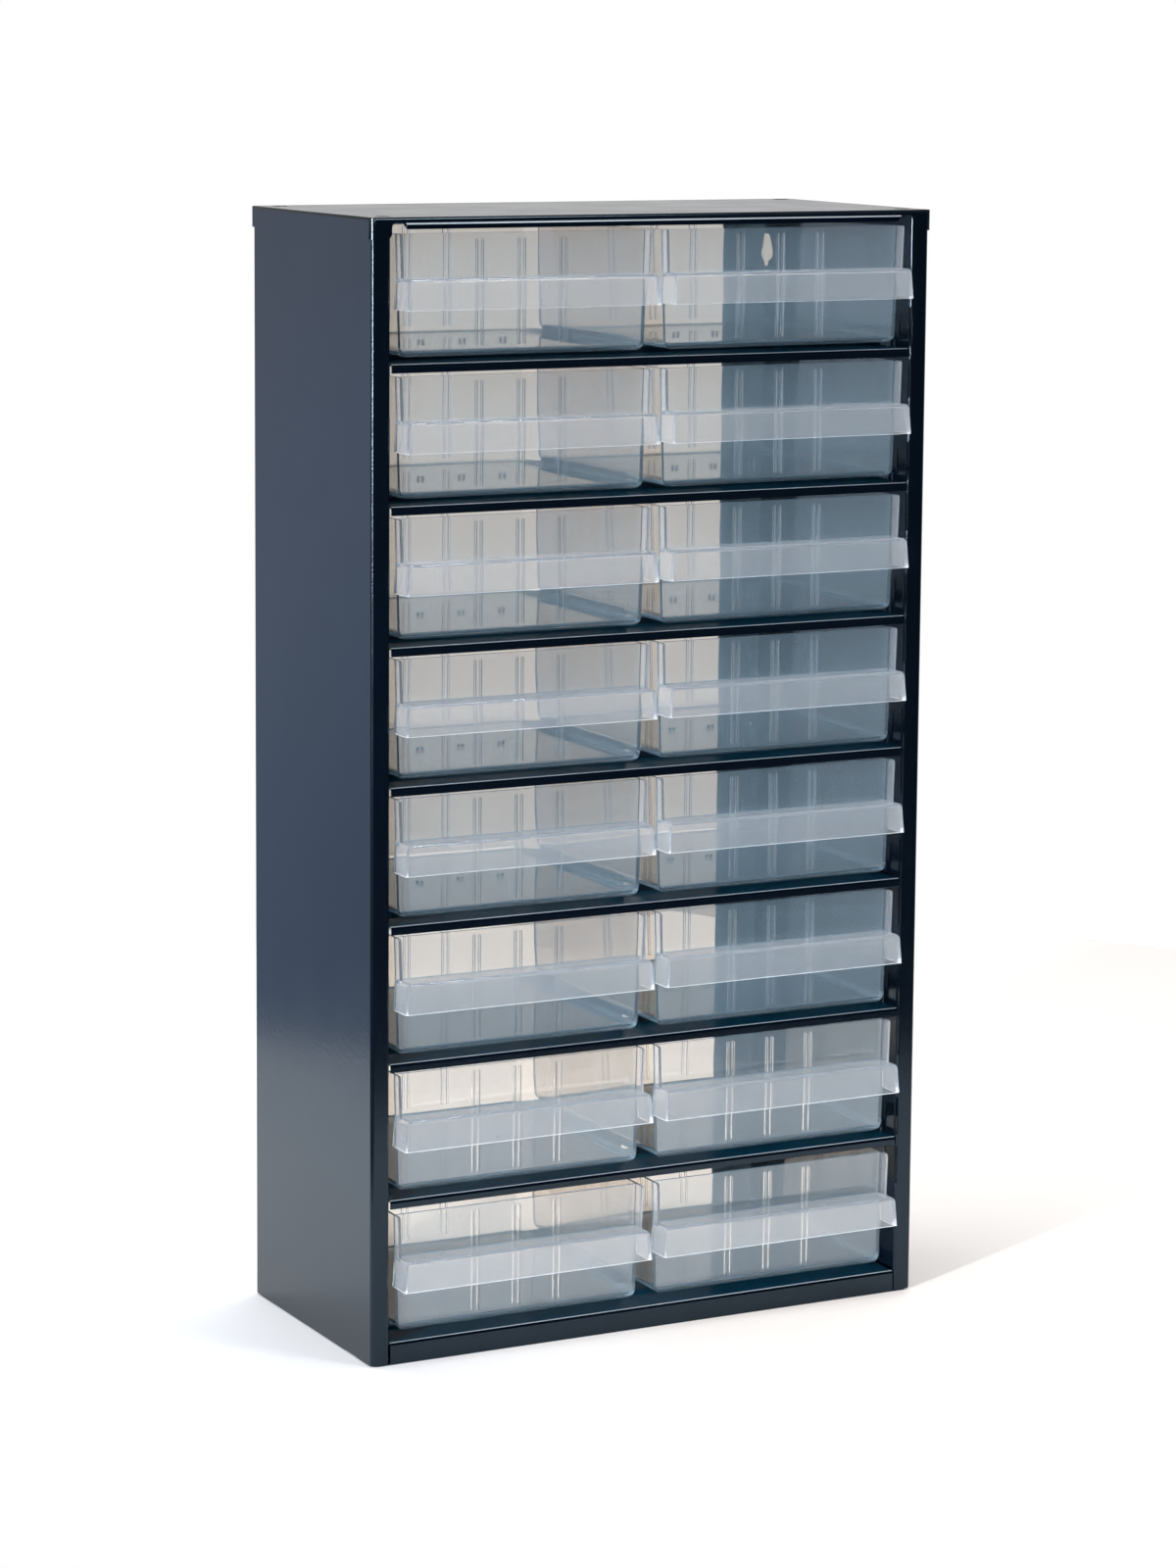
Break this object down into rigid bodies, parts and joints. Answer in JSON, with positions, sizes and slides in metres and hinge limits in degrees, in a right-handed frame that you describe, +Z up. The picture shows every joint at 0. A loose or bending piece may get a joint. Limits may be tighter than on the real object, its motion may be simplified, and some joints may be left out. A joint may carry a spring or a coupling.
{
  "type": "parts bin cabinet",
  "caption": "Wall or bench cabinet of folded painted steel with rows of paired translucent pull-out drawers, each with a full-width finger pull.",
  "frame": {"origin": "on the ground, under the centre of the overall bounding box", "axes": "+Z up, the drawers face -Y and the open back faces +Y, +X is to the right when facing the drawers"},
  "size_m": [0.306, 0.15, 0.552],
  "materials": {
    "painted_steel": "semi-gloss powder coat",
    "clear_plastic": "natural polypropylene, polished outside"
  },
  "bodies": {
    "carcass": {"side_left": "painted_steel", "side_right": "painted_steel", "top_cap": "painted_steel", "bottom_pan": "painted_steel", "shelf_1": "painted_steel", "shelf_2": "painted_steel", "shelf_3": "painted_steel", "shelf_4": "painted_steel", "shelf_5": "painted_steel", "shelf_6": "painted_steel", "shelf_7": "painted_steel"},
    "drawer_1_left": {"drawer_1_left": "clear_plastic"},
    "drawer_1_right": {"drawer_1_right": "clear_plastic"},
    "drawer_2_left": {"drawer_2_left": "clear_plastic"},
    "drawer_2_right": {"drawer_2_right": "clear_plastic"},
    "drawer_3_left": {"drawer_3_left": "clear_plastic"},
    "drawer_3_right": {"drawer_3_right": "clear_plastic"},
    "drawer_4_left": {"drawer_4_left": "clear_plastic"},
    "drawer_4_right": {"drawer_4_right": "clear_plastic"},
    "drawer_5_left": {"drawer_5_left": "clear_plastic"},
    "drawer_5_right": {"drawer_5_right": "clear_plastic"},
    "drawer_6_left": {"drawer_6_left": "clear_plastic"},
    "drawer_6_right": {"drawer_6_right": "clear_plastic"},
    "drawer_7_left": {"drawer_7_left": "clear_plastic"},
    "drawer_7_right": {"drawer_7_right": "clear_plastic"},
    "drawer_8_left": {"drawer_8_left": "clear_plastic"},
    "drawer_8_right": {"drawer_8_right": "clear_plastic"}
  },
  "joints": [
    {"name": "slide_1_left", "type": "slide", "parent": "carcass", "child": "drawer_1_left", "axis": [0, -1, 0], "range_m": [0, 0.095]},
    {"name": "slide_1_right", "type": "slide", "parent": "carcass", "child": "drawer_1_right", "axis": [0, -1, 0], "range_m": [0, 0.095]},
    {"name": "slide_2_left", "type": "slide", "parent": "carcass", "child": "drawer_2_left", "axis": [0, -1, 0], "range_m": [0, 0.095]},
    {"name": "slide_2_right", "type": "slide", "parent": "carcass", "child": "drawer_2_right", "axis": [0, -1, 0], "range_m": [0, 0.095]},
    {"name": "slide_3_left", "type": "slide", "parent": "carcass", "child": "drawer_3_left", "axis": [0, -1, 0], "range_m": [0, 0.095]},
    {"name": "slide_3_right", "type": "slide", "parent": "carcass", "child": "drawer_3_right", "axis": [0, -1, 0], "range_m": [0, 0.095]},
    {"name": "slide_4_left", "type": "slide", "parent": "carcass", "child": "drawer_4_left", "axis": [0, -1, 0], "range_m": [0, 0.095]},
    {"name": "slide_4_right", "type": "slide", "parent": "carcass", "child": "drawer_4_right", "axis": [0, -1, 0], "range_m": [0, 0.095]},
    {"name": "slide_5_left", "type": "slide", "parent": "carcass", "child": "drawer_5_left", "axis": [0, -1, 0], "range_m": [0, 0.095]},
    {"name": "slide_5_right", "type": "slide", "parent": "carcass", "child": "drawer_5_right", "axis": [0, -1, 0], "range_m": [0, 0.095]},
    {"name": "slide_6_left", "type": "slide", "parent": "carcass", "child": "drawer_6_left", "axis": [0, -1, 0], "range_m": [0, 0.095]},
    {"name": "slide_6_right", "type": "slide", "parent": "carcass", "child": "drawer_6_right", "axis": [0, -1, 0], "range_m": [0, 0.095]},
    {"name": "slide_7_left", "type": "slide", "parent": "carcass", "child": "drawer_7_left", "axis": [0, -1, 0], "range_m": [0, 0.095]},
    {"name": "slide_7_right", "type": "slide", "parent": "carcass", "child": "drawer_7_right", "axis": [0, -1, 0], "range_m": [0, 0.095]},
    {"name": "slide_8_left", "type": "slide", "parent": "carcass", "child": "drawer_8_left", "axis": [0, -1, 0], "range_m": [0, 0.095]},
    {"name": "slide_8_right", "type": "slide", "parent": "carcass", "child": "drawer_8_right", "axis": [0, -1, 0], "range_m": [0, 0.095]}
  ]
}
